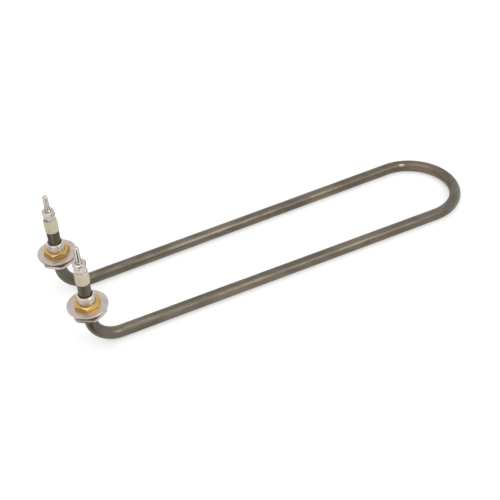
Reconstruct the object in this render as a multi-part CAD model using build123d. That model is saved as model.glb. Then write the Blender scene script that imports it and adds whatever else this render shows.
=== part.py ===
from build123d import *
import os
from dataclasses import dataclass
from math import asin, atan2, cos, hypot, radians, sin, sqrt, tan

# Hairpin tubular heating element with two upright screw-in terminals.
#
# Millimetres and degrees. +X runs along the legs, from the terminals to the hairpin bend, +Y runs from
# terminal A to terminal B, and +Z points up along the terminals. The origin lies midway between the two
# terminal axes, level with the top faces of the lock nuts, where the free bushing threads start.

# ---- Sheathed tube: one length, bent into a hairpin with both ends turned up ----
TUBE_DIAMETER = 8.0
TUBE_WALL = 0.7
TUBE_EDGE = 0.15              # broken edge at each mouth
TERMINAL_PITCH = 56.0         # between the two terminal axes
ELEMENT_LENGTH = 283.0        # terminal axes to the outermost point of the tube's centreline
BEND_RADIUS = 31.2            # centreline radius of the hairpin bend
ELBOW_RADIUS = 18.0           # centreline radius of each turn up to a terminal
STRAIGHT_BELOW_HEAD = 6.0     # upright tube between the elbow and the bushing head
TUBE_ABOVE_BUSHING = 8.6      # bare tube between the bushing rim and the ceramic bead

# ---- Threaded bushing with a thin hexagon head ----
BUSHING_WALL = 0.8            # bore to thread crest
BRAZE_GAP = 0.45              # radial gap between the tube and the bushing bore, open at the rim
HEAD_ACROSS_FLATS = 20.0
HEAD_THICKNESS = 3.0
THREAD_ABOVE_LOCK_NUT = 5.4
RIM_CHAMFER = 0.35            # thread run-in at the bushing's top rim

# ---- Braze that fixes the bushing to the tube ----
BRAZE_DEPTH = 6.0             # how far the braze runs up inside the bushing
BRAZE_FILLET = 0.8            # height and width of the fillet under the head

# ---- Gasket, clamp washer and lock nut, stacked on the head ----
FIT_GAP = 0.1                 # radial clearance of the gasket and the nuts on what they ride on
WASHER_GAP = 0.25             # radial clearance of the flat washers
GASKET_DIAMETER = 20.5
GASKET_THICKNESS = 2.8
GASKET_EDGE = 0.5             # softened edge of the moulding
WASHER_DIAMETER = 25.0
WASHER_THICKNESS = 1.2
WASHER_EDGE = 0.25            # broken edge that stamping leaves
LOCK_NUT_ACROSS_FLATS = 14.5
LOCK_NUT_THICKNESS = 3.0

# ---- Ceramic bead and moisture seal at the mouth of the tube ----
BEAD_DIAMETER = 8.6
BEAD_LENGTH = 9.0
BEAD_EDGE = 0.5
SPIGOT_LENGTH = 2.0           # stepped end of the bead inside the tube
SPIGOT_GAP = 0.1
SEAL_LENGTH = 6.0

# ---- Terminal pin: cold pin inside, threaded stud through the bead, plain rounded tip on top ----
COLD_PIN_DIAMETER = 3.2
STUD_DIAMETER = 4.0
STUD_CHAMFER = 0.35
STUD_ABOVE_NUTS = 0.6         # thread left standing above the upper nut
TIP_DIAMETER = 3.3
TIP_LENGTH = 10.5             # plain tip above the thread
TIP_ROUND_SHARE = 0.7         # share of the tip's radius that its rounded end takes
BEAD_WASHER_DIAMETER = 8.0
BEAD_WASHER_THICKNESS = 0.5
PIN_NUT_ACROSS_FLATS = 7.3
PIN_NUT_THICKNESS = 3.2

# ---- Resistance coil, drawn as the sleeve that its close turns fill ----
COIL_DIAMETER = 3.4
COIL_BORE = 2.2
COIL_LAP = 5.0                # length of coil gripped by each pin's stepped end
PIN_ABOVE_ELBOW = 2.0         # upright tube between the elbow and the pin's lower end

# ---- Hexagon corners: cut back by a cone, as turned nuts and heads are ----
CHAMFER_ANGLE = 30.0
CHAMFER_FACE_SHARE = 0.94     # diameter of the flat face over the width across flats
BORE_CHAMFER = 0.3            # countersink at each end of a nut's bore

# ---- Sizes that follow ----
TUBE_BORE = TUBE_DIAMETER - 2 * TUBE_WALL
BUSHING_BORE = TUBE_DIAMETER + 2 * BRAZE_GAP
THREAD_DIAMETER = BUSHING_BORE + 2 * BUSHING_WALL

Z_LOCK_NUT = 0.0                                   # top of the lock nut
Z_WASHER = Z_LOCK_NUT - LOCK_NUT_THICKNESS         # top of the clamp washer
Z_GASKET = Z_WASHER - WASHER_THICKNESS             # top of the gasket
Z_HEAD = Z_GASKET - GASKET_THICKNESS               # top of the bushing head
Z_HEAD_FOOT = Z_HEAD - HEAD_THICKNESS              # underside of the bushing head
Z_ELBOW = Z_HEAD_FOOT - STRAIGHT_BELOW_HEAD        # where the upright tube meets the elbow
Z_LEGS = Z_ELBOW - ELBOW_RADIUS                    # centreline of the legs
Z_RIM = Z_LOCK_NUT + THREAD_ABOVE_LOCK_NUT         # top rim of the bushing
Z_MOUTH = Z_RIM + TUBE_ABOVE_BUSHING               # mouth of the tube
Z_SPIGOT = Z_MOUTH - SPIGOT_LENGTH                 # lower end of the bead's spigot
Z_SEAL_FOOT = Z_SPIGOT - SEAL_LENGTH               # lower end of the seal, where the powder starts
Z_BEAD = Z_MOUTH + BEAD_LENGTH                     # top of the bead
Z_BEAD_WASHER = Z_BEAD + BEAD_WASHER_THICKNESS
Z_LOWER_NUT = Z_BEAD_WASHER + PIN_NUT_THICKNESS
Z_UPPER_NUT = Z_LOWER_NUT + PIN_NUT_THICKNESS
Z_STUD = Z_UPPER_NUT + STUD_ABOVE_NUTS             # end of the pin's thread
Z_TIP = Z_STUD + TIP_LENGTH
Z_PIN_END = Z_ELBOW + PIN_ABOVE_ELBOW              # lower end of the cold pin
Z_COIL_END = Z_PIN_END + COIL_LAP                  # where the coil ends on the pin's step


@dataclass(frozen=True)
class Terminal:
    """Where one terminal stands and how far each of its hexagons is turned about its axis."""

    name: str
    side: int
    head_turn: float
    lock_nut_turn: float
    lower_nut_turn: float
    upper_nut_turn: float

    @property
    def axis(self):
        """Location of the terminal's axis on the level of the origin."""
        return Location((0, self.side * TERMINAL_PITCH / 2, 0))


TERMINALS = (
    Terminal("a", -1, head_turn=30, lock_nut_turn=10, lower_nut_turn=12, upper_nut_turn=3),
    Terminal("b", 1, head_turn=23, lock_nut_turn=55, lower_nut_turn=16, upper_nut_turn=33),
)


def hairpin_path(top):
    """Centreline of the bent tube as one smooth wire, with both upright ends stopping at height top."""
    half = TERMINAL_PITCH / 2
    centre_x = ELEMENT_LENGTH - BEND_RADIUS
    splay = asin(BEND_RADIUS / hypot(centre_x, half)) - atan2(half, centre_x)

    def side(sign):
        """Points of one leg: upright end, elbow start, elbow middle, elbow end and start of the bend."""
        def along(distance, height):
            return Vector(distance * cos(splay), sign * (half + distance * sin(splay)), height)

        quarter = ELBOW_RADIUS * (1 - sqrt(0.5))
        bend = Vector(centre_x - BEND_RADIUS * sin(splay), sign * BEND_RADIUS * cos(splay), Z_LEGS)
        return (along(0, top), along(0, Z_ELBOW), along(quarter, Z_LEGS + quarter),
                along(ELBOW_RADIUS, Z_LEGS), bend)

    end_a, start_a, mid_a, foot_a, bend_a = side(-1)
    end_b, start_b, mid_b, foot_b, bend_b = side(1)
    return Wire([
        Edge.make_line(end_a, start_a),
        Edge.make_three_point_arc(start_a, mid_a, foot_a),
        Edge.make_line(foot_a, bend_a),
        Edge.make_three_point_arc(bend_a, Vector(ELEMENT_LENGTH, 0, Z_LEGS), bend_b),
        Edge.make_line(bend_b, foot_b),
        Edge.make_three_point_arc(foot_b, mid_b, start_b),
        Edge.make_line(start_b, end_b),
    ])


def hairpin_rod(diameter, top):
    """Round rod of one diameter along the tube's centreline, with its ends at height top."""
    section = Plane((0, -TERMINAL_PITCH / 2, top)) * Circle(diameter / 2)
    return sweep(section, path=hairpin_path(top))


def turned(*outline):
    """Solid turned about Z from the corners (radius, height) of its half section."""
    corners = [(radius, 0, height) for radius, height in outline]
    return revolve(make_face(Polyline(*corners, close=True)), Axis.Z)


def ring(inner, outer, foot, top, edge=0.0):
    """Flat ring between two diameters, with both outer edges broken by a chamfer of the given size."""
    cut = min(edge, 0.45 * (top - foot))
    rim = outer / 2
    if not cut:
        return turned((inner / 2, foot), (rim, foot), (rim, top), (inner / 2, top))
    return turned((inner / 2, foot), (rim - cut, foot), (rim, foot + cut),
                  (rim, top - cut), (rim - cut, top), (inner / 2, top))


def hexagon(across_flats, foot, top, turn, both_ends):
    """Hexagon prism whose corners are cut by a cone at the top, and at the foot too if both_ends."""
    corner = across_flats / sqrt(3)
    face = CHAMFER_FACE_SHARE * across_flats / 2
    drop = (corner - face) * tan(radians(CHAMFER_ANGLE))
    lower = [(face, foot), (corner, foot + drop)] if both_ends else [(corner, foot)]
    envelope = turned((0, foot), *lower, (corner, top - drop), (face, top), (0, top))
    outline = RegularPolygon(across_flats / 2, 6, major_radius=False, rotation=turn)
    return extrude(Plane((0, 0, foot)) * outline, top - foot) & envelope


def nut(across_flats, bore, foot, top, turn, both_ends=True):
    """Hexagon nut with a countersunk bore."""
    radius = bore / 2
    wide = radius + BORE_CHAMFER
    hole = turned((0, foot), (wide, foot), (radius, foot + BORE_CHAMFER),
                  (radius, top - BORE_CHAMFER), (wide, top), (0, top))
    return hexagon(across_flats, foot, top, turn, both_ends) - hole


def heating_tube():
    """Metal sheath, one bent tube open at both ends."""
    sheath = hairpin_rod(TUBE_DIAMETER, Z_MOUTH) - hairpin_rod(TUBE_BORE, Z_MOUTH)
    rims = sheath.faces().filter_by(Axis.Z).edges()
    return chamfer(rims, TUBE_EDGE)


def resistance_coil():
    """Heating coil as a sleeve of its own outer and inner diameter, gripped by both pins."""
    return hairpin_rod(COIL_DIAMETER, Z_COIL_END) - hairpin_rod(COIL_BORE, Z_COIL_END)


def insulation_powder(inside):
    """Compacted powder that fills the tube between the seals, round and within the pieces inside."""
    return hairpin_rod(TUBE_BORE, Z_SEAL_FOOT) - inside


def terminal_pin():
    """Cold pin, threaded stud and rounded plain tip, turned in one piece."""
    cold, stud, tip = COLD_PIN_DIAMETER / 2, STUD_DIAMETER / 2, TIP_DIAMETER / 2
    rounding = TIP_ROUND_SHARE * tip
    shoulder = Z_TIP - rounding
    lower = Polyline(
        (0, 0, shoulder), (0, 0, Z_PIN_END), (COIL_BORE / 2, 0, Z_PIN_END), (COIL_BORE / 2, 0, Z_COIL_END),
        (cold, 0, Z_COIL_END), (cold, 0, Z_MOUTH - STUD_CHAMFER), (stud, 0, Z_MOUTH),
        (stud, 0, Z_STUD - STUD_CHAMFER), (tip, 0, Z_STUD), (tip, 0, shoulder))
    bow = rounding * sqrt(0.5)
    rounded = ThreePointArc((tip, 0, shoulder), (tip - rounding + bow, 0, shoulder + bow),
                            (tip - rounding, 0, Z_TIP))
    cap = Polyline((tip - rounding, 0, Z_TIP), (0, 0, Z_TIP), (0, 0, shoulder))
    return revolve(make_face([*lower.edges(), rounded, *cap.edges()]), Axis.Z)


def moisture_seal():
    """Seal that closes the tube's mouth round the cold pin, below the bead's spigot."""
    return ring(COLD_PIN_DIAMETER, TUBE_BORE, Z_SEAL_FOOT, Z_SPIGOT)


def ceramic_bead():
    """Insulating bead that stands on the tube's end, with a spigot in its mouth."""
    bore, body = STUD_DIAMETER / 2 + FIT_GAP, BEAD_DIAMETER / 2
    bead = ring(2 * bore, 2 * body, Z_MOUTH, Z_BEAD, BEAD_EDGE)
    return bead + ring(2 * bore, TUBE_BORE - 2 * SPIGOT_GAP, Z_SPIGOT, Z_MOUTH)


def threaded_bushing(turn):
    """Bushing with a thin hexagon head and a plain shank of the thread's outer diameter."""
    shank = turned((0, Z_HEAD_FOOT), (THREAD_DIAMETER / 2, Z_HEAD_FOOT),
                   (THREAD_DIAMETER / 2, Z_RIM - RIM_CHAMFER),
                   (THREAD_DIAMETER / 2 - RIM_CHAMFER, Z_RIM), (0, Z_RIM))
    bore = turned((0, Z_HEAD_FOOT), (BUSHING_BORE / 2, Z_HEAD_FOOT), (BUSHING_BORE / 2, Z_RIM), (0, Z_RIM))
    return hexagon(HEAD_ACROSS_FLATS, Z_HEAD_FOOT, Z_HEAD, turn, both_ends=True) + shank - bore


def braze_ring():
    """Braze between the tube and the bushing, with its fillet under the head."""
    tube = TUBE_DIAMETER / 2
    return turned((tube, Z_HEAD_FOOT - BRAZE_FILLET), (tube + BRAZE_FILLET, Z_HEAD_FOOT),
                  (BUSHING_BORE / 2, Z_HEAD_FOOT), (BUSHING_BORE / 2, Z_HEAD_FOOT + BRAZE_DEPTH),
                  (tube, Z_HEAD_FOOT + BRAZE_DEPTH))


def terminal_parts(terminal):
    """Every piece of one terminal by name, in place."""
    on_thread = THREAD_DIAMETER + 2 * FIT_GAP
    on_stud = STUD_DIAMETER + 2 * FIT_GAP
    over_thread = THREAD_DIAMETER + 2 * WASHER_GAP
    over_stud = STUD_DIAMETER + 2 * WASHER_GAP
    pieces = {
        "terminal_pin": terminal_pin(),
        "moisture_seal": moisture_seal(),
        "ceramic_bead": ceramic_bead(),
        "bead_washer": ring(over_stud, BEAD_WASHER_DIAMETER, Z_BEAD, Z_BEAD_WASHER),
        "lower_nut": nut(PIN_NUT_ACROSS_FLATS, on_stud, Z_BEAD_WASHER, Z_LOWER_NUT, terminal.lower_nut_turn),
        "upper_nut": nut(PIN_NUT_ACROSS_FLATS, on_stud, Z_LOWER_NUT, Z_UPPER_NUT, terminal.upper_nut_turn),
        "threaded_bushing": threaded_bushing(terminal.head_turn),
        "braze_ring": braze_ring(),
        "sealing_gasket": ring(on_thread, GASKET_DIAMETER, Z_HEAD, Z_GASKET, GASKET_EDGE),
        "clamp_washer": ring(over_thread, WASHER_DIAMETER, Z_GASKET, Z_WASHER, WASHER_EDGE),
        "lock_nut": nut(LOCK_NUT_ACROSS_FLATS, on_thread, Z_WASHER, Z_LOCK_NUT, terminal.lock_nut_turn,
                        both_ends=False),
    }
    return {f"{name}_{terminal.name}": terminal.axis * piece for name, piece in pieces.items()}


def all_parts():
    """Every piece of the element by name."""
    parts = {"heating_tube": heating_tube(), "resistance_coil": resistance_coil()}
    for terminal in TERMINALS:
        parts.update(terminal_parts(terminal))
    inside = [parts["resistance_coil"]] + [parts[f"terminal_pin_{terminal.name}"] for terminal in TERMINALS]
    parts["insulation_powder"] = insulation_powder(inside)
    return parts


os.makedirs("parts", exist_ok=True)
for node, piece in all_parts().items():
    export_step(piece, f"parts/{node}.step")
    print(f"{node}: {piece.volume:.1f} mm3")
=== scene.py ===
"""Dressed model of a hairpin tubular heating element with two screw-in terminals.

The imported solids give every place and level. Each sub-assembly below is a class that models its
pieces with mesh operators, dresses them with a finish and fastens them to the frame.
Lengths are metres; sizes that the solids do not give directly are written in millimetres times MM.
"""
import logging
from dataclasses import dataclass
from enum import Enum
from math import asin, atan2, ceil, cos, hypot, pi, radians, sin, sqrt, tan

import bmesh
import bpy
from mathutils import Matrix, Vector


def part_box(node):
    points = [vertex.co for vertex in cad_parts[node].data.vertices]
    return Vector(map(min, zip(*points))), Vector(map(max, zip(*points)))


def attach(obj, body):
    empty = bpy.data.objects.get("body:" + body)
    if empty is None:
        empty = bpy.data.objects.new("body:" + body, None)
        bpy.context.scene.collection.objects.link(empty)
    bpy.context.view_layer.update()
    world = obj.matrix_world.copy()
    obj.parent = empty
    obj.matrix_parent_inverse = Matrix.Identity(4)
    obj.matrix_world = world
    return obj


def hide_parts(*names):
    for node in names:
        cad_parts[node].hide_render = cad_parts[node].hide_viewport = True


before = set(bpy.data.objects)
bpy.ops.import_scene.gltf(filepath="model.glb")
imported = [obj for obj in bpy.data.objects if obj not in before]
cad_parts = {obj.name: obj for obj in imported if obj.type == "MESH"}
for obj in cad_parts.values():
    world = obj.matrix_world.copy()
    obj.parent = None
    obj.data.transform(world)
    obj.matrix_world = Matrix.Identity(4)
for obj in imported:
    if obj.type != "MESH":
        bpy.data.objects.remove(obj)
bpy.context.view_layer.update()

LOG = logging.getLogger("heating_element")

MM = 0.001
FULL_TURN = 2 * pi
UP = Vector((0, 0, 1))
TURNED_STEPS = 96          # facets round a turned piece, a whole number for each side of a hexagon
MERGE_DISTANCE = 1e-6      # vertices closer than this are one
TOOTH = (0.10, 0.24, 0.86)   # end of a thread's groove and both ends of its crest, in shares of the pitch
HEAD_ACROSS_FLATS = 20.0 * MM
LOCK_NUT_ACROSS_FLATS = 14.5 * MM
PIN_NUT_ACROSS_FLATS = 7.3 * MM
UNBENT = "unbent"          # attribute: place on the tube as it was before it was bent

Colour = tuple[float, float, float, float]
Point = tuple[float, float]
Source = float | tuple | bpy.types.NodeSocket


def shade(red: int, green: int, blue: int) -> Colour:
    """Turn a colour as it looks on a display into the linear colour that a shader takes.

    Args:
        red: Red from 0 to 255.
        green: Green from 0 to 255.
        blue: Blue from 0 to 255.

    Returns:
        Linear red, green, blue and an alpha of 1.
    """
    def linear(level: int) -> float:
        """Undo the display's curve for one channel."""
        share = level / 255
        return share / 12.92 if share <= 0.04045 else ((share + 0.055) / 1.055) ** 2.4

    return (linear(red), linear(green), linear(blue), 1.0)


# ---- Shader graphs ----

class Graph:
    """Short way to add and join the nodes of one material or world."""

    def __init__(self, tree: bpy.types.NodeTree) -> None:
        """Start from an empty tree."""
        self.tree = tree
        tree.nodes.clear()

    def feed(self, socket: bpy.types.NodeSocket, source: Source) -> None:
        """Give an input its value, or link it.

        Args:
            socket: Input to fill.
            source: A constant, or the output of another node.
        """
        if isinstance(source, bpy.types.NodeSocket):
            self.tree.links.new(source, socket)
        else:
            socket.default_value = source

    def node(self, kind: str, inputs: dict[str | int, Source] | None = None,
             **settings: object) -> bpy.types.Node:
        """Add a node.

        Args:
            kind: Blender's name of the node type.
            inputs: Input name or index to its source.
            **settings: Properties of the node itself.

        Returns:
            The new node.
        """
        node = self.tree.nodes.new(kind)
        for name, value in settings.items():
            setattr(node, name, value)
        for name, source in (inputs or {}).items():
            self.feed(node.inputs[name], source)
        return node

    def place(self) -> bpy.types.NodeSocket:
        """Place on the piece in the frame's own coordinates."""
        return self.node("ShaderNodeTexCoord").outputs["Object"]

    def unbent(self) -> bpy.types.NodeSocket:
        """Place on the tube as it was before it was bent: across, across and along."""
        return self.node("ShaderNodeAttribute", attribute_name=UNBENT).outputs["Vector"]

    def on_axis(self) -> bpy.types.NodeSocket:
        """Place measured from the axis of the terminal that the piece belongs to.

        Returns:
            Vector output whose x and y are zero on the axis of both terminals.
        """
        parts = self.node("ShaderNodeSeparateXYZ", {0: self.place()}).outputs
        centred = self.maths("SUBTRACT", self.maths("ABSOLUTE", parts["Y"]), half_pitch())
        return self.node("ShaderNodeCombineXYZ", {"X": parts["X"], "Y": centred, "Z": parts["Z"]}).outputs[0]

    def maths(self, operation: str, first: Source, second: Source = 0.0) -> bpy.types.NodeSocket:
        """Combine two numbers by an operation of the Math node."""
        return self.node("ShaderNodeMath", {0: first, 1: second}, operation=operation).outputs[0]

    def vector(self, operation: str, first: Source, second: Source = (0.0, 0.0, 0.0),
               output: str = "Vector") -> bpy.types.NodeSocket:
        """Combine two vectors by an operation of the Vector Math node, and read one of its outputs."""
        return self.node("ShaderNodeVectorMath", {0: first, 1: second}, operation=operation).outputs[output]

    def noise(self, place: bpy.types.NodeSocket, scale: float | tuple[float, float, float],
              detail: float = 2.0, roughness: float = 0.5) -> bpy.types.NodeSocket:
        """Cloudy pattern, stretched if the scale differs between directions.

        Args:
            place: Coordinates to read.
            scale: Repeats in each metre, one number or one for each direction.
            detail: Octaves of finer pattern.
            roughness: Share of each finer octave.

        Returns:
            Output that varies about 0.5.
        """
        repeats = scale if isinstance(scale, tuple) else (scale, scale, scale)
        stretched = self.vector("MULTIPLY", place, repeats)
        inputs = {"Vector": stretched, "Scale": 1.0, "Detail": detail, "Roughness": roughness}
        return self.node("ShaderNodeTexNoise", inputs, noise_dimensions="3D").outputs[0]

    def ramp(self, source: Source, low: float, high: float, start: float = 0.0,
             end: float = 1.0) -> bpy.types.NodeSocket:
        """Soft step: the result goes from start to end while the source goes from low to high."""
        inputs = {"Value": source, "From Min": low, "From Max": high, "To Min": start, "To Max": end}
        return self.node("ShaderNodeMapRange", inputs, interpolation_type="SMOOTHSTEP").outputs[0]

    def blend(self, share: Source, first: Source, second: Source) -> bpy.types.NodeSocket:
        """Mix two colours by the share of the second."""
        return self.node("ShaderNodeMix", {0: share, 6: first, 7: second}, data_type="RGBA").outputs[2]

    def bump(self, height: Source, depth: float,
             below: bpy.types.NodeSocket | None = None) -> bpy.types.NodeSocket:
        """Surface relief too fine to model.

        Args:
            height: Pattern of the relief.
            depth: Depth of the relief in metres.
            below: Normal of a coarser relief that this one lies on.

        Returns:
            Output with the normal.
        """
        inputs: dict[str | int, Source] = {"Height": height, "Distance": depth, "Strength": 1.0}
        if below is not None:
            inputs["Normal"] = below
        return self.node("ShaderNodeBump", inputs).outputs[0]

    def surface(self, shader: bpy.types.NodeSocket) -> None:
        """Send a shader to the material's output."""
        self.node("ShaderNodeOutputMaterial", {"Surface": shader})


@dataclass(frozen=True)
class Finish:
    """Base of the finishes: a named material with one principled shader."""

    name: str

    def graph(self) -> tuple[bpy.types.Material, Graph]:
        """Make the empty material.

        Returns:
            The material and its graph.
        """
        material = bpy.data.materials.new(self.name)
        material.use_nodes = True
        return material, Graph(material.node_tree)

    def material(self) -> bpy.types.Material:
        """Build the finish."""
        raise NotImplementedError


@dataclass(frozen=True)
class OxidisedSheath(Finish):
    """Steel tube that annealing has darkened to an olive-brown satin, drawn lengthwise."""

    tone: Colour
    dark: Colour
    brown: Colour
    end_tone: Colour
    worn: Colour
    run_length: float                    # length of the tube from mouth to mouth
    end_length: float = 24 * MM          # stretch at each end that is coloured darker
    scuff_at: tuple[float, float, float] = (0.0, 0.0, 0.0)
    scuff_size: float = 1.5 * MM
    scuff_narrow: float = 0.5            # its width over its length
    roughness: float = 0.32

    def material(self) -> bpy.types.Material:
        """Build the finish on the tube's unbent coordinates.

        Returns:
            The material.
        """
        material, graph = self.graph()
        place = graph.unbent()
        along = graph.node("ShaderNodeSeparateXYZ", {0: place}).outputs["Z"]

        clouds = graph.noise(place, (140.0, 140.0, 38.0), detail=4.0, roughness=0.6)
        tone = graph.blend(graph.ramp(clouds, 0.36, 0.66), self.dark, self.tone)
        patches = graph.noise(place, (90.0, 90.0, 24.0), detail=3.0)
        tone = graph.blend(graph.ramp(patches, 0.5, 0.72, 0.0, 0.65), tone, self.brown)

        # the tone darkens towards each end of the tube
        from_end = graph.maths("MINIMUM", along, graph.maths("SUBTRACT", self.run_length, along))
        end_share = graph.ramp(from_end, 0.5 * self.end_length, 1.3 * self.end_length, 0.85, 0.0)
        tone = graph.blend(end_share, tone, self.end_tone)

        drawn = graph.noise(place, (2600.0, 2600.0, 36.0), detail=3.0, roughness=0.6)
        tone = graph.blend(graph.ramp(drawn, 0.45, 0.75, 0.0, 0.30), tone, self.dark)

        grains = graph.noise(place, (900.0, 900.0, 420.0), detail=2.0)
        fleck = graph.ramp(grains, 0.70, 0.80, 0.0, 0.55)
        aside = graph.vector("SUBTRACT", place, self.scuff_at)
        aside = graph.vector("MULTIPLY", aside, (1.0, 1.0, self.scuff_narrow))
        to_scuff = graph.vector("LENGTH", aside, output="Value")
        scuff = graph.ramp(to_scuff, 0.25 * self.scuff_size, self.scuff_size, 1.0, 0.0)
        scuff = graph.maths("MULTIPLY", scuff, graph.ramp(graph.noise(place, 1500.0), 0.42, 0.58))
        wear = graph.maths("MAXIMUM", fleck, scuff)
        tone = graph.blend(wear, tone, self.worn)

        roughness = graph.ramp(clouds, 0.3, 0.7, self.roughness + 0.08, self.roughness - 0.05)
        grain = graph.bump(graph.noise(place, (700.0, 700.0, 240.0), detail=3.0), 0.02 * MM)
        normal = graph.bump(drawn, 0.012 * MM, grain)
        metal = graph.node("ShaderNodeBsdfPrincipled", {
            "Base Color": tone, "Metallic": 0.82, "Roughness": roughness, "Normal": normal,
            "Specular IOR Level": 0.4})
        graph.surface(metal.outputs[0])
        return material


@dataclass(frozen=True)
class WorkedMetal(Finish):
    """Bare or plated metal with turning marks and small stains."""

    tone: Colour
    stain: Colour
    roughness: float = 0.25
    stain_share: float = 0.35
    stain_scale: float = 260.0
    marks: tuple[float, float, float] = (300.0, 300.0, 5200.0)   # turning marks, close along the axis
    mark_depth: float = 0.004 * MM
    pit_depth: float = 0.0
    rolled: Colour | None = None         # duller tone of the bar, where it was left as rolled
    rolled_below: float = 0.0            # height at which the turned surface ends

    def material(self) -> bpy.types.Material:
        """Build the finish on coordinates centred on the terminal.

        Returns:
            The material.
        """
        material, graph = self.graph()
        place = graph.on_axis()
        clouds = graph.noise(place, self.stain_scale, detail=4.0, roughness=0.6)
        tone = graph.blend(graph.ramp(clouds, 0.48, 0.72, 0.0, self.stain_share), self.tone, self.stain)
        marks = graph.noise(place, self.marks, detail=2.0)
        tone = graph.blend(graph.ramp(marks, 0.4, 0.8, 0.0, 0.25 * self.stain_share), tone, self.stain)
        if self.rolled:
            height = graph.node("ShaderNodeSeparateXYZ", {0: place}).outputs["Z"]
            untouched = graph.ramp(height, self.rolled_below, self.rolled_below + 0.5 * MM, 1.0, 0.0)
            tone = graph.blend(untouched, tone, self.rolled)
        smear = graph.noise(place, 1100.0, detail=2.0)
        roughness = graph.ramp(smear, 0.3, 0.7, self.roughness - 0.05, self.roughness + 0.07)
        normal = graph.bump(marks, self.mark_depth)
        if self.pit_depth:
            normal = graph.bump(graph.noise(place, 1800.0, detail=3.0, roughness=0.7), self.pit_depth, normal)
        metal = graph.node("ShaderNodeBsdfPrincipled", {
            "Base Color": tone, "Metallic": 1.0, "Roughness": roughness, "Normal": normal})
        graph.surface(metal.outputs[0])
        return material


@dataclass(frozen=True)
class MatteBody(Finish):
    """Fired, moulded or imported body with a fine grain: ceramic, rubber, fibre or powder."""

    tone: Colour
    stain: Colour
    roughness: float = 0.7
    grain_scale: float = 2600.0
    grain_depth: float = 0.02 * MM
    speck: Colour | None = None

    def material(self) -> bpy.types.Material:
        """Build the finish on the frame's coordinates.

        Returns:
            The material.
        """
        material, graph = self.graph()
        place = graph.place()
        clouds = graph.noise(place, 330.0, detail=4.0, roughness=0.6)
        tone = graph.blend(graph.ramp(clouds, 0.4, 0.7, 0.0, 0.6), self.tone, self.stain)
        grain = graph.noise(place, self.grain_scale, detail=3.0, roughness=0.65)
        tone = graph.blend(graph.ramp(grain, 0.5, 0.8, 0.0, 0.5), tone, self.stain)
        if self.speck is not None:
            specks = graph.noise(place, 1700.0, detail=1.0)
            tone = graph.blend(graph.ramp(specks, 0.68, 0.76, 0.0, 0.6), tone, self.speck)
        roughness = graph.ramp(grain, 0.3, 0.7, self.roughness - 0.08, self.roughness + 0.08)
        body = graph.node("ShaderNodeBsdfPrincipled", {
            "Base Color": tone, "Roughness": roughness, "Normal": graph.bump(grain, self.grain_depth)})
        graph.surface(body.outputs[0])
        return material


# ---- Mesh helpers ----

class Chamfer(Enum):
    """Which ends of a hexagon have their corners cut back by a cone."""

    TOP = "top"
    BOTH = "both"


@dataclass(frozen=True)
class Extent:
    """Room that a CAD node takes up, as read from the frame."""

    low: Vector
    high: Vector

    @classmethod
    def of(cls, node: str) -> "Extent":
        """Read the box of a CAD node."""
        low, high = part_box(node)
        return cls(Vector(low), Vector(high))

    @property
    def foot(self) -> float:
        """Lowest level."""
        return self.low.z

    @property
    def top(self) -> float:
        """Highest level."""
        return self.high.z

    @property
    def radius(self) -> float:
        """Half the width along X, the radius of a round upright piece."""
        return (self.high.x - self.low.x) / 2

    @property
    def axis(self) -> Vector:
        """Middle of the box on the frame's ground level."""
        middle = (self.low + self.high) / 2
        return Vector((middle.x, middle.y, 0))


def half_pitch() -> float:
    """Distance from the middle plane to either terminal's axis."""
    return Extent.of("terminal_pin_b").axis.y


def arc(centre: Point, radius: float, start: float, end: float, steps: int) -> list[Point]:
    """Points on a round stretch of a half section.

    Args:
        centre: Radius and height of the arc's centre.
        radius: Radius of the arc.
        start: Angle of the first point in degrees, from the outward direction upwards.
        end: Angle of the last point in degrees.
        steps: Number of straight pieces.

    Returns:
        The points, both ends included.
    """
    angles = [radians(start + (end - start) * step / steps) for step in range(steps + 1)]
    return [(centre[0] + radius * cos(angle), centre[1] + radius * sin(angle)) for angle in angles]


def new_edges(result: dict) -> list[bmesh.types.BMEdge]:
    """Edges of an extrusion that join only its new vertices.

    Args:
        result: What the extrude operator returned.

    Returns:
        The edges of the new rim.
    """
    verts = {item for item in result["geom"] if isinstance(item, bmesh.types.BMVert)}
    edges = {edge for vert in verts for edge in vert.link_edges}
    return [edge for edge in edges if edge.verts[0] in verts and edge.verts[1] in verts]


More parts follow.
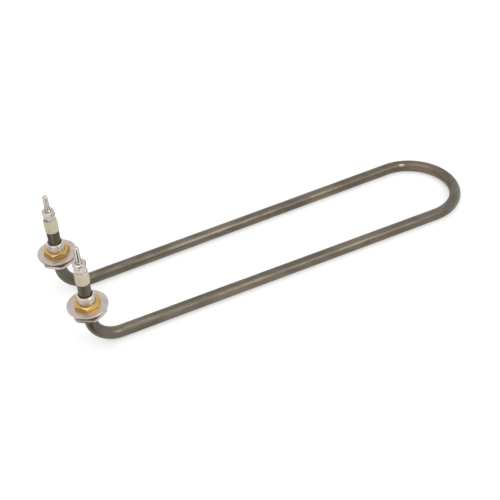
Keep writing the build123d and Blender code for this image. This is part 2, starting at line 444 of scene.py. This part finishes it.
class Blank:
    """A piece on the bench, worked about the Z axis before it is set in its place."""

    def __init__(self) -> None:
        """Start with an empty mesh."""
        self.mesh = bmesh.new()

    def turn(self, outline: list[Point], closed: bool = True) -> None:
        """Turn a half section about the axis.

        Args:
            outline: Corners as radius and height.
            closed: Whether the last corner joins the first.
        """
        verts = [self.mesh.verts.new((radius, 0, height)) for radius, height in outline]
        pairs = list(zip(verts, verts[1:] + verts[:1] if closed else verts[1:]))
        edges = [self.mesh.edges.new(pair) for pair in pairs]
        bmesh.ops.spin(self.mesh, geom=verts + edges, cent=(0, 0, 0), axis=UP, dvec=(0, 0, 0),
                       angle=FULL_TURN, steps=TURNED_STEPS, use_merge=True)
        bmesh.ops.remove_doubles(self.mesh, verts=self.mesh.verts, dist=MERGE_DISTANCE)

    def press_hexagon(self, across_flats: float, face: float, foot: float, top: float, chamfer: Chamfer,
                      cone: float) -> None:
        """Press the outer wall of a turned blank to a hexagon with cone-cut corners.

        Args:
            across_flats: Width across the flats.
            face: Radius of the flat face inside the cone.
            foot: Lower face.
            top: Upper face.
            chamfer: Ends that the cone cuts.
            cone: Slope of the cone in radians.
        """
        side = FULL_TURN / 6
        middle = (foot + top) / 2
        for vert in self.mesh.verts:
            if hypot(vert.co.x, vert.co.y) <= face + MERGE_DISTANCE:
                continue
            angle = atan2(vert.co.y, vert.co.x)
            wall = across_flats / 2 / cos(angle % side - side / 2)
            drop = (wall - face) * tan(cone)
            upper = vert.co.z > middle
            height = top - drop if upper else foot + (drop if chamfer is Chamfer.BOTH else 0)
            vert.co = (wall * cos(angle), wall * sin(angle), height)

    def thread(self, crest: float, root: float, pitch: float, foot: float, top: float, chamfer: float,
               collar: float = 0.0) -> None:
        """Cut a screw thread, open at both ends.

        Args:
            crest: Outer radius.
            root: Radius at the bottom of the groove.
            pitch: Rise in each turn.
            foot: Level where the thread starts.
            top: Level where it ends.
            chamfer: Depth of the run-in cone at the top.
            collar: Height of a plain band under the top.
        """
        start = foot - 2 * pitch
        turns = ceil((top - foot) / pitch) + 4
        outline = [(radius, start + (turn + share) * pitch) for turn in range(turns)
                   for radius, share in ((root, 0.0), *zip((root, crest, crest), TOOTH))]
        outline.append((root, start + turns * pitch))
        verts = [self.mesh.verts.new((radius, 0, height)) for radius, height in outline]
        edges = [self.mesh.edges.new(pair) for pair in zip(verts, verts[1:])]
        bmesh.ops.spin(self.mesh, geom=verts + edges, cent=(0, 0, 0), axis=UP,
                       dvec=(0, 0, pitch / TURNED_STEPS), angle=FULL_TURN, steps=TURNED_STEPS,
                       use_merge=False)
        bmesh.ops.remove_doubles(self.mesh, verts=self.mesh.verts, dist=MERGE_DISTANCE)
        band = (crest + root) / 2
        for vert in self.mesh.verts:
            radius = band if vert.co.z > top - collar else hypot(vert.co.x, vert.co.y)
            limit = crest - max(0.0, vert.co.z - (top - chamfer))
            vert.co.xy *= min(radius, limit) / hypot(vert.co.x, vert.co.y)
        for level, clear_above in ((top, True), (foot, False)):
            everything = self.mesh.verts[:] + self.mesh.edges[:] + self.mesh.faces[:]
            bmesh.ops.bisect_plane(self.mesh, geom=everything, dist=MERGE_DISTANCE / 10,
                                   plane_co=(0, 0, level), plane_no=UP, clear_outer=clear_above,
                                   clear_inner=not clear_above)

    def rim(self, height: float) -> list[bmesh.types.BMEdge]:
        """Find the edges of the open rim at a height."""
        return [edge for edge in self.mesh.edges if edge.is_boundary
                and all(abs(vert.co.z - height) < 2 * MERGE_DISTANCE for vert in edge.verts)]

    def extend(self, rim: list[bmesh.types.BMEdge], outline: list[Point]) -> list[bmesh.types.BMEdge]:
        """Carry an open rim on through further corners of a turned section.

        Args:
            rim: Edges of the open rim.
            outline: Corners to pass, as radius and height.

        Returns:
            The last rim.
        """
        for radius, height in outline:
            grown = bmesh.ops.extrude_edge_only(self.mesh, edges=rim)
            rim = new_edges(grown)
            for vert in {vert for edge in rim for vert in edge.verts}:
                outward = Vector((vert.co.x, vert.co.y, 0)).normalized()
                vert.co = outward * radius + UP * height
        return rim

    def join(self, first: list[bmesh.types.BMEdge], second: list[bmesh.types.BMEdge]) -> None:
        """Close the gap between two open rims."""
        bmesh.ops.bridge_loops(self.mesh, edges=first + second)

    def take(self, other: "Blank") -> None:
        """Take another blank onto the same bench.

        Args:
            other: Blank that is used up.
        """
        data = bpy.data.meshes.new("carried")
        other.mesh.to_mesh(data)
        other.mesh.free()
        self.mesh.from_mesh(data)
        bpy.data.meshes.remove(data)

    def soften(self, width: float, segments: int = 2, above: float = 24.0) -> None:
        """Break the sharp edges with a small round.

        Args:
            width: Width of the round.
            segments: Facets across it.
            above: Smallest turn of the surface, in degrees, that counts as sharp.
        """
        sharp = [edge for edge in self.mesh.edges
                 if len(edge.link_faces) == 2 and edge.calc_face_angle() > radians(above)]
        bmesh.ops.bevel(self.mesh, geom=sharp, offset=width, offset_type="OFFSET", segments=segments,
                        profile=0.5, affect="EDGES", clamp_overlap=True, material=-1)

    def rotate(self, turn: float) -> None:
        """Turn the blank about its axis by an angle in degrees."""
        bmesh.ops.rotate(self.mesh, cent=(0, 0, 0), matrix=Matrix.Rotation(radians(turn), 3, "Z"),
                         verts=self.mesh.verts)


def fit(blank: Blank, name: str, node: str, material: bpy.types.Material,
        crease: float = 38.0) -> None:
    """Make a worked blank a finished piece that stands for a CAD node.

    Args:
        blank: Piece in its place.
        name: Name of the finished piece.
        node: CAD node that it stands for.
        material: Finish.
        crease: Angle in degrees above which an edge is drawn sharp.
    """
    mesh = blank.mesh
    bmesh.ops.remove_doubles(mesh, verts=mesh.verts, dist=MERGE_DISTANCE / 10)
    bmesh.ops.recalc_face_normals(mesh, faces=mesh.faces)
    open_edges = sum(1 for edge in mesh.edges if len(edge.link_faces) != 2)
    data = bpy.data.meshes.new(name)
    mesh.to_mesh(data)
    mesh.free()
    data.polygons.foreach_set("use_smooth", [True] * len(data.polygons))
    data.set_sharp_from_angle(angle=radians(crease))
    data.materials.append(material)
    piece = bpy.data.objects.new(name, data)
    bpy.context.scene.collection.objects.link(piece)
    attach(piece, "root")
    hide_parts(node)
    LOG.info("%s stands for %s: %d faces, %d open edges", name, node, len(data.polygons), open_edges)


def dress(node: str, material: bpy.types.Material) -> None:
    """Give a CAD node that stays in view its finish.

    Args:
        node: Name of the CAD node.
        material: Finish.
    """
    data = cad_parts[node].data
    data.materials.clear()
    data.materials.append(material)
    LOG.info("%s keeps its own shape, finished as %s", node, material.name)


# ---- Sheathed tube ----

@dataclass
class TubeRun:
    """A tube as it grows ring by ring, with the length of centreline that it has run."""

    mesh: bmesh.types.BMesh
    rim: list[bmesh.types.BMEdge]
    stride: float                        # longest straight piece
    length: float = 0.0

    def advance(self, step: Matrix, count: int, length: float) -> None:
        """Grow by equal steps and note the length run on each new vertex.

        Args:
            step: Move from one ring to the next.
            count: Number of steps.
            length: Length of centreline in each step.
        """
        unbent = self.mesh.verts.layers.float_vector[UNBENT]
        for _ in range(count):
            self.rim = new_edges(bmesh.ops.extrude_edge_only(self.mesh, edges=self.rim))
            verts = list({vert for edge in self.rim for vert in edge.verts})
            bmesh.ops.transform(self.mesh, matrix=step, verts=verts)
            self.length += length
            for vert in verts:
                vert[unbent] = Vector((*vert[unbent].xy, self.length))

    def straight(self, heading: Vector, length: float) -> None:
        """Grow a straight length along a heading."""
        count = ceil(length / self.stride)
        self.advance(Matrix.Translation(heading * (length / count)), count, length / count)

    def bend(self, centre: Vector, axis: Vector, angle: float, count: int, radius: float) -> None:
        """Grow a bend.

        Args:
            centre: Centre of the bend.
            axis: Axis of the bend.
            angle: Angle to turn in radians.
            count: Number of steps.
            radius: Centreline radius.
        """
        there = Matrix.Translation(centre)
        step = there @ Matrix.Rotation(angle / count, 4, axis) @ there.inverted()
        self.advance(step, count, radius * angle / count)


@dataclass
class SheathedTube:
    """The bent tube with the coil and the powder inside it."""

    diameter: float = 8.0 * MM
    wall: float = 0.7 * MM
    bend_radius: float = 31.2 * MM       # centreline radius of the hairpin bend
    elbow_radius: float = 18.0 * MM      # centreline radius of each elbow
    facets: int = 64
    stride: float = 6.0 * MM             # length of the straight pieces
    elbow_steps: int = 26
    bend_steps: int = 84
    scuff_before: float = 11.5 * MM      # from the scuff to the end of the hairpin bend
    scuff_angle: float = 43.0            # its place round the tube, in degrees

    def __post_init__(self) -> None:
        """Work out the bends from the CAD tube's box."""
        extent = Extent.of("heating_tube")
        radius = self.diameter / 2
        self.half_pitch = half_pitch()
        self.mouth = extent.top
        self.legs = extent.foot + radius
        self.centre = Vector((extent.high.x - radius - self.bend_radius, 0, self.legs))
        reach = hypot(self.centre.x, self.half_pitch)
        self.splay = asin(self.bend_radius / reach) - atan2(self.half_pitch, self.centre.x)
        self.leg = sqrt(reach ** 2 - self.bend_radius ** 2) - self.elbow_radius
        self.upright = self.mouth - (self.legs + self.elbow_radius)

    @property
    def run_length(self) -> float:
        """Length of the centreline from mouth to mouth."""
        turned = pi * self.elbow_radius + (pi + 2 * self.splay) * self.bend_radius
        return 2 * (self.upright + self.leg) + turned

    def blank(self) -> Blank:
        """Bend the tube from one mouth to the other.

        Returns:
            The tube as a closed wall, in its place.
        """
        blank = Blank()
        mesh = blank.mesh
        unbent = mesh.verts.layers.float_vector.new(UNBENT)
        start = Vector((0, -self.half_pitch, self.mouth))
        mouths = []
        for radius in (self.diameter / 2, self.diameter / 2 - self.wall):
            ring = bmesh.ops.create_circle(mesh, segments=self.facets, radius=radius)
            for vert in ring["verts"]:
                vert[unbent] = vert.co.copy()
                vert.co += start
            mouths.append(list({edge for vert in ring["verts"] for edge in vert.link_edges}))

        out = Vector((cos(self.splay), -sin(self.splay), 0))
        back = Vector((-cos(self.splay), -sin(self.splay), 0))
        elbow = Vector((0, self.half_pitch, self.legs + self.elbow_radius)) - back * self.elbow_radius
        mirrored = Vector((elbow.x, -elbow.y, elbow.z))
        run = TubeRun(mesh, mouths[0] + mouths[1], self.stride)
        run.straight(-UP, self.upright)
        run.bend(mirrored, (-UP).cross(out), pi / 2, self.elbow_steps, self.elbow_radius)
        run.straight(out, self.leg)
        run.bend(self.centre, UP, pi + 2 * self.splay, self.bend_steps, self.bend_radius)
        run.straight(back, self.leg)
        run.bend(elbow, back.cross(UP), pi / 2, self.elbow_steps, self.elbow_radius)
        run.straight(UP, self.upright)

        blank.join(mouths[0], mouths[1])
        blank.join(run.rim, [])
        return blank

    def finish(self) -> OxidisedSheath:
        """Finish of the sheath."""
        turned = pi / 2 * self.elbow_radius + (pi + 2 * self.splay) * self.bend_radius
        scuff_run = self.upright + self.leg + turned - self.scuff_before
        angle = radians(self.scuff_angle)
        radius = self.diameter / 2
        return OxidisedSheath(
            "oxidised_sheath", tone=shade(118, 110, 97), dark=shade(96, 88, 77), brown=shade(124, 107, 92),
            end_tone=shade(94, 86, 75), worn=shade(205, 200, 188), run_length=self.run_length,
            scuff_at=(radius * cos(angle), radius * sin(angle), scuff_run))

    def build(self) -> None:
        """Model the tube and dress what is inside it."""
        fit(self.blank(), "sheath_tube", "heating_tube", self.finish().material())
        wire = WorkedMetal("resistance_wire", tone=shade(150, 146, 140), stain=shade(96, 92, 88),
                           roughness=0.4)
        powder = MatteBody("packed_powder", tone=shade(232, 228, 218), stain=shade(205, 200, 188),
                           roughness=0.9)
        dress("resistance_coil", wire.material())
        dress("insulation_powder", powder.material())


# ---- Terminals ----

def terminal_finishes() -> dict[str, bpy.types.Material]:
    """Mix the finishes that both terminals share.

    Returns:
        Each material slot's finish.
    """
    head_top = Extent.of("sealing_gasket_b").foot
    finishes = {
        "bushing_steel": WorkedMetal("turned_steel", tone=shade(222, 216, 208), stain=shade(160, 150, 139),
                                     roughness=0.34, stain_share=0.25, mark_depth=0.0008 * MM,
                                     rolled=shade(196, 185, 174), rolled_below=head_top),
        "braze": WorkedMetal("silver_braze", tone=shade(222, 200, 150), stain=shade(150, 118, 80),
                             roughness=0.42, pit_depth=0.02 * MM),
        "gasket": MatteBody("red_fibre", tone=shade(104, 64, 54), stain=shade(70, 44, 38), roughness=0.8),
        "washer_steel": WorkedMetal("stamped_steel", tone=shade(197, 186, 178), stain=shade(170, 158, 145),
                                    roughness=0.34, stain_share=0.75, stain_scale=190.0,
                                    marks=(900.0, 260.0, 900.0), pit_depth=0.004 * MM),
        "nut_brass": WorkedMetal("turned_brass", tone=shade(201, 167, 104), stain=shade(166, 122, 56),
                                 roughness=0.22, stain_share=0.5, stain_scale=420.0),
        "ceramic": MatteBody("steatite", tone=shade(205, 193, 168), stain=shade(188, 175, 148),
                             roughness=0.62, speck=shade(168, 156, 122)),
        "seal": MatteBody("silicone_seal", tone=shade(176, 86, 64), stain=shade(150, 66, 50)),
        "pin_nickel": WorkedMetal("nickel_plate", tone=shade(198, 192, 184), stain=shade(140, 132, 122),
                                  roughness=0.17),
    }
    return {slot: finish.material() for slot, finish in finishes.items()}


@dataclass(frozen=True)
class HexSize:
    """Sizes of a hexagon and how far it is turned about its axis."""

    across_flats: float
    turn: float
    chamfer: Chamfer = Chamfer.BOTH
    face_share: float = 0.94             # flat face over the width across flats
    cone: float = radians(30)
    edge: float = 0.07 * MM              # small round on every sharp edge

    def section(self, foot: float, top: float) -> list[Point]:
        """Half section from the upper face round the outside to the lower face.

        Args:
            foot: Lower face.
            top: Upper face.

        Returns:
            Corners as radius and height, without the bore.
        """
        face = self.face_share * self.across_flats / 2
        corner = self.across_flats / sqrt(3)
        return [(face, top), (corner, top), (corner, foot), (face, foot)]

    def press(self, blank: Blank, foot: float, top: float) -> None:
        """Press a blank that was turned with this section."""
        blank.press_hexagon(self.across_flats, self.face_share * self.across_flats / 2, foot, top,
                            self.chamfer, self.cone)


@dataclass
class Terminal:
    """One terminal: bushing, clamping pieces, ceramic bead, pin and its nuts."""

    name: str
    head: HexSize
    lock_nut: HexSize
    lower_nut: HexSize
    upper_nut: HexSize
    finishes: dict[str, bpy.types.Material]
    thread_radius: float = 5.25 * MM     # outer radius of the bushing's thread
    bushing_wall: float = 0.8 * MM
    bushing_pitch: float = 1.0 * MM
    bushing_thread_depth: float = 0.28 * MM
    collar: float = 0.75 * MM            # plain band between the thread and the rim
    rim_chamfer: float = 0.22 * MM
    countersink: float = 0.3 * MM
    thread_gap: float = 0.05 * MM        # between a nut's bore and the thread it is on
    washer_gap: float = 0.25 * MM        # between a washer's bore and what it is on
    bead_gap: float = 0.1 * MM           # between the bead's bore and the stud
    spigot_radius: float = 3.2 * MM      # bead's stepped end inside the tube
    stud_radius: float = 2.0 * MM
    stud_pitch: float = 0.7 * MM
    stud_thread_depth: float = 0.4 * MM
    stud_chamfer: float = 0.35 * MM
    stud_above_nuts: float = 0.6 * MM
    cold_pin_radius: float = 1.6 * MM
    coil_bore_radius: float = 1.1 * MM
    coil_lap: float = 5.0 * MM
    tip_radius: float = 1.65 * MM
    tip_round_share: float = 0.7
    bead_edge: float = 0.75 * MM
    washer_roll: float = 0.3 * MM        # rounded upper edge that stamping leaves
    washer_burr: float = 0.08 * MM       # broken lower edge
    gasket_bulge: float = 0.35 * MM      # how far squeezing bows out the gasket's rim

    def extent(self, node: str) -> Extent:
        """Room of one of this terminal's CAD nodes, named without its letter."""
        return Extent.of(f"{node}_{self.name}")

    def set_piece(self, blank: Blank, piece: str, node: str, slot: str) -> None:
        """Carry a blank to the terminal's axis and fit it. Names are without the terminal's letter."""
        bmesh.ops.translate(blank.mesh, vec=self.extent("terminal_pin").axis, verts=blank.mesh.verts)
        fit(blank, f"{piece}_{self.name}", f"{node}_{self.name}", self.finishes[slot])

    def bushing(self) -> None:
        """Bushing with its thin hexagon head, fine thread and thin rim."""
        extent = self.extent("threaded_bushing")
        head_top = self.extent("sealing_gasket").foot
        crest = self.thread_radius
        bore = crest - self.bushing_wall
        blank = Blank()
        outline = [(crest + self.thread_gap, head_top), *self.head.section(extent.foot, head_top),
                   (bore, extent.foot), (bore, extent.top)]
        blank.turn(outline, closed=False)
        self.head.press(blank, extent.foot, head_top)
        blank.soften(self.head.edge)
        seat, mouth = blank.rim(head_top), blank.rim(extent.top)
        shank = Blank()
        shank.thread(crest, crest - self.bushing_thread_depth, self.bushing_pitch, head_top, extent.top,
                     self.rim_chamfer, self.collar)
        blank.take(shank)
        for level, own in ((head_top, seat), (extent.top, mouth)):
            blank.join(own, [edge for edge in blank.rim(level) if edge not in own])
        blank.rotate(self.head.turn)
        self.set_piece(blank, "screw_bushing", "threaded_bushing", "bushing_steel")

    def nut(self, size: HexSize, bore: float, piece: str, node: str, slot: str) -> None:
        """Hexagon nut with a countersunk bore.

        Args:
            size: Its hexagon.
            bore: Radius of the bore.
            piece: Name of the finished piece.
            node: CAD node that it stands for.
            slot: Material slot of the record.
        """
        extent = self.extent(node)
        foot, top, sink = extent.foot, extent.top, self.countersink
        blank = Blank()
        blank.turn([(bore, foot + sink), (bore, top - sink), (bore + sink, top),
                    *size.section(foot, top), (bore + sink, foot)])
        size.press(blank, foot, top)
        blank.soften(size.edge)
        blank.rotate(size.turn)
        self.set_piece(blank, piece, node, slot)

    def gasket(self) -> None:
        """Fibre gasket whose rim bows out where it is squeezed."""
        extent = self.extent("sealing_gasket")
        foot, top, rim = extent.foot, extent.top, extent.radius - self.gasket_bulge
        bore = self.thread_radius + self.thread_gap
        half = (top - foot) / 2
        bow = [(rim + self.gasket_bulge * cos(angle), foot + half + half * sin(angle))
               for angle in (radians(step * 15 - 90) for step in range(13))]
        blank = Blank()
        blank.turn([(bore, top), (bore, foot), *bow])
        self.set_piece(blank, "gasket", "sealing_gasket", "gasket")

    def washer(self) -> None:
        """Stamped washer, rounded above and nearly sharp below."""
        extent = self.extent("clamp_washer")
        foot, top, rim = extent.foot, extent.top, extent.radius
        bore, roll, burr = self.thread_radius + self.washer_gap, self.washer_roll, self.washer_burr
        blank = Blank()
        blank.turn([(bore, foot), (rim - burr, foot), (rim, foot + burr),
                    *arc((rim - roll, top - roll), roll, 0, 90, 5),
                    *arc((bore + roll, top - roll), roll, 90, 180, 5)])
        self.set_piece(blank, "flat_washer", "clamp_washer", "washer_steel")

    def bead(self) -> None:
        """Ceramic bead with rounded ends and a spigot in the tube's mouth."""
        extent = self.extent("ceramic_bead")
        mouth = Extent.of("heating_tube").top
        bore, spigot = self.stud_radius + self.bead_gap, self.spigot_radius
        body, edge = extent.radius, self.bead_edge
        blank = Blank()
        blank.turn([(bore, extent.foot), (spigot, extent.foot), (spigot, mouth),
                    *arc((body - edge, mouth + edge), edge, -90, 0, 6),
                    *arc((body - edge, extent.top - edge), edge, 0, 90, 6),
                    (bore, extent.top)])
        self.set_piece(blank, "insulating_bead", "ceramic_bead", "ceramic")

    def bead_washer(self) -> None:
        """Thin washer between the bead and the nuts."""
        extent = self.extent("bead_washer")
        foot, top, rim = extent.foot, extent.top, extent.radius
        bore, roll = self.stud_radius + self.washer_gap, (top - foot) / 2
        blank = Blank()
        blank.turn([(bore, foot), *arc((rim - roll, foot + roll), roll, -90, 90, 6), (bore, top)])
        self.set_piece(blank, "thin_washer", "bead_washer", "pin_nickel")

    def pin(self) -> None:
        """Terminal pin: stepped cold end, threaded stud and smooth rounded tip."""
        extent = self.extent("terminal_pin")
        stud_foot = self.extent("ceramic_bead").top
        stud_top = self.extent("upper_nut").top + self.stud_above_nuts
        rounding = self.tip_round_share * self.tip_radius
        blank = Blank()
        blank.thread(self.stud_radius, self.stud_radius - self.stud_thread_depth, self.stud_pitch, stud_foot,
                     stud_top, self.stud_chamfer)
        tip = blank.extend(blank.rim(stud_top), [
            (self.tip_radius, stud_top),
            *arc((self.tip_radius - rounding, extent.top - rounding), rounding, 0, 90, 8)])
        bmesh.ops.edgeloop_fill(blank.mesh, edges=tip)
        mouth = Extent.of("heating_tube").top
        cold = blank.extend(blank.rim(stud_foot), [
            (self.stud_radius, stud_foot), (self.stud_radius, mouth),
            (self.cold_pin_radius, mouth - self.stud_chamfer),
            (self.cold_pin_radius, extent.foot + self.coil_lap),
            (self.coil_bore_radius, extent.foot + self.coil_lap), (self.coil_bore_radius, extent.foot)])
        bmesh.ops.edgeloop_fill(blank.mesh, edges=cold)
        self.set_piece(blank, "terminal_stud", "terminal_pin", "pin_nickel")

    def build(self) -> None:
        """Model and dress every piece of the terminal, from the head upwards."""
        self.bushing()
        self.gasket()
        self.washer()
        self.nut(self.lock_nut, self.thread_radius + self.thread_gap, "brass_nut", "lock_nut", "nut_brass")
        self.bead()
        self.bead_washer()
        on_stud = self.stud_radius + self.thread_gap
        self.nut(self.lower_nut, on_stud, "small_nut_lower", "lower_nut", "pin_nickel")
        self.nut(self.upper_nut, on_stud, "small_nut_upper", "upper_nut", "pin_nickel")
        self.pin()
        dress(f"braze_ring_{self.name}", self.finishes["braze"])
        dress(f"moisture_seal_{self.name}", self.finishes["seal"])


# ---- Studio ----

@dataclass(frozen=True)
class SoftLight:
    """A rectangular soft light that looks at the element."""

    name: str
    place: tuple[float, float, float]
    width: float
    depth: float
    power: float

    def hang(self, target: Vector) -> None:
        """Hang the light.

        Args:
            target: Point that it faces.
        """
        lamp = bpy.data.lights.new(self.name, "AREA")
        lamp.shape = "RECTANGLE"
        lamp.size, lamp.size_y = self.width, self.depth
        lamp.energy = self.power
        holder = bpy.data.objects.new(self.name, lamp)
        facing = (target - Vector(self.place)).to_track_quat("-Z", "Y")
        holder.matrix_world = Matrix.Translation(self.place) @ facing.to_matrix().to_4x4()
        bpy.context.scene.collection.objects.link(holder)


@dataclass
class Studio:
    """Pale floor, white sky, soft lights, the cards that bright metal mirrors, and the camera."""

    floor_size: float = 6.0
    floor_tone: float = 0.58
    floor_glow: float = 0.45             # lifts the floor to white where it is seen or mirrored
    camera_place: tuple[float, float, float] = (-94.649 * MM, -465.390 * MM, 396.644 * MM)
    camera_turn: tuple[float, float, float] = (49.966, 2.767, -27.279)   # degrees
    camera_lens: float = 71.457          # millimetres on a sensor 36 mm wide
    lights: tuple[SoftLight, ...] = (
        SoftLight("key_light", (0.46, -0.64, 0.57), 0.42, 0.42, 1.5),
        SoftLight("top_light", (0.04, -0.14, 0.85), 0.90, 0.20, 1.0),
    )
    aim: tuple[float, float, float] = (0.12, 0.0, -0.02)       # point that the lights face
    flag_tone: float = 0.14
    flag_lift: float = 0.5 * MM          # of the cards above the floor
    flags: tuple[tuple[float, float, float, float], ...] = (   # left, front, right and back of each card
        (-62 * MM, -152 * MM, 30 * MM, -96 * MM),
        (-50 * MM, -72 * MM, -1 * MM, -40 * MM),
        (-104 * MM, 10 * MM, -49 * MM, 112 * MM),
        (56 * MM, -24 * MM, 100 * MM, 6 * MM),
        (56 * MM, 38 * MM, 110 * MM, 80 * MM),
    )

    def world(self) -> None:
        """Surround the element with an even white sky."""
        world = bpy.data.worlds.new("studio")
        world.use_nodes = True
        bpy.context.scene.world = world
        graph = Graph(world.node_tree)
        sky = graph.node("ShaderNodeBackground", {"Color": (1.0, 1.0, 1.0, 1.0), "Strength": 1.0})
        graph.node("ShaderNodeOutputWorld", {"Surface": sky.outputs[0]})

    def lay(self, mesh: bmesh.types.BMesh, name: str, material: bpy.types.Material) -> bpy.types.Object:
        """Put a stage mesh in the scene.

        Args:
            mesh: Mesh in its place, which is used up.
            name: Name of the stage object.
            material: Its material.

        Returns:
            The stage object.
        """
        data = bpy.data.meshes.new(name)
        mesh.to_mesh(data)
        mesh.free()
        data.materials.append(material)
        laid = bpy.data.objects.new(name, data)
        bpy.context.scene.collection.objects.link(laid)
        return laid

    def floor(self) -> None:
        """Lay a pale floor that stays white round the element and keeps its soft shadow."""
        mesh = bmesh.new()
        bmesh.ops.create_grid(mesh, x_segments=1, y_segments=1, size=self.floor_size / 2)
        lowest = Extent.of("heating_tube").foot
        bmesh.ops.translate(mesh, vec=(0, 0, lowest), verts=mesh.verts)
        material, graph = Finish("pale_floor").graph()
        tone = (self.floor_tone, self.floor_tone, self.floor_tone, 1.0)
        path = graph.node("ShaderNodeLightPath").outputs
        on_view = graph.maths("MAXIMUM", path["Is Camera Ray"], path["Is Glossy Ray"])
        on_view = graph.maths("MAXIMUM", on_view, path["Is Transmission Ray"])
        matte = graph.node("ShaderNodeBsdfDiffuse", {"Color": tone})
        strength = graph.maths("MULTIPLY", on_view, self.floor_glow)
        glow = graph.node("ShaderNodeEmission", {"Strength": strength})
        both = graph.node("ShaderNodeAddShader", {0: matte.outputs[0], 1: glow.outputs[0]})
        graph.surface(both.outputs[0])
        self.lay(mesh, "floor", material)

    def lay_flags(self) -> None:
        """Lay dark cards in front of the terminals that only their bright metal mirrors."""
        mesh = bmesh.new()
        level = Extent.of("heating_tube").foot + self.flag_lift
        for left, front, right, back in self.flags:
            outline = ((left, front), (right, front), (right, back), (left, back))
            mesh.faces.new([mesh.verts.new((*corner, level)) for corner in outline])
        material, graph = Finish("flag_cloth").graph()
        tone = (self.flag_tone, self.flag_tone, self.flag_tone, 1.0)
        graph.surface(graph.node("ShaderNodeBsdfDiffuse", {"Color": tone}).outputs[0])
        flag = self.lay(mesh, "dark_flag", material)
        flag.visible_camera = flag.visible_diffuse = flag.visible_shadow = flag.visible_transmission = False

    def camera(self) -> None:
        """Set up the camera."""
        lens = bpy.data.cameras.new("camera")
        lens.lens = self.camera_lens
        lens.sensor_width = 36.0
        lens.clip_start = 0.01
        holder = bpy.data.objects.new("camera", lens)
        holder.location = self.camera_place
        holder.rotation_euler = [radians(angle) for angle in self.camera_turn]
        bpy.context.scene.collection.objects.link(holder)
        bpy.context.scene.camera = holder

    def build(self) -> None:
        """Set up the whole studio."""
        bpy.context.scene.view_settings.view_transform = "Standard"
        self.world()
        self.floor()
        self.lay_flags()
        for light in self.lights:
            light.hang(Vector(self.aim))
        self.camera()
        LOG.info("studio: %d soft lights, floor and camera", len(self.lights))


def main() -> None:
    """Build the element and its studio in order."""
    logging.basicConfig(level=logging.INFO, format="%(name)s: %(message)s")
    finishes = terminal_finishes()
    SheathedTube().build()
    turns = {"a": (30, 10, 12, 3), "b": (23, 55, 16, 33)}      # head, lock, lower and upper nut, in degrees
    for name, (head, lock, lower, upper) in turns.items():
        Terminal(name, head=HexSize(HEAD_ACROSS_FLATS, head, edge=0.12 * MM),
                 lock_nut=HexSize(LOCK_NUT_ACROSS_FLATS, lock, Chamfer.TOP),
                 lower_nut=HexSize(PIN_NUT_ACROSS_FLATS, lower),
                 upper_nut=HexSize(PIN_NUT_ACROSS_FLATS, upper), finishes=finishes).build()
    Studio().build()


if __name__ == "__main__":
    main()
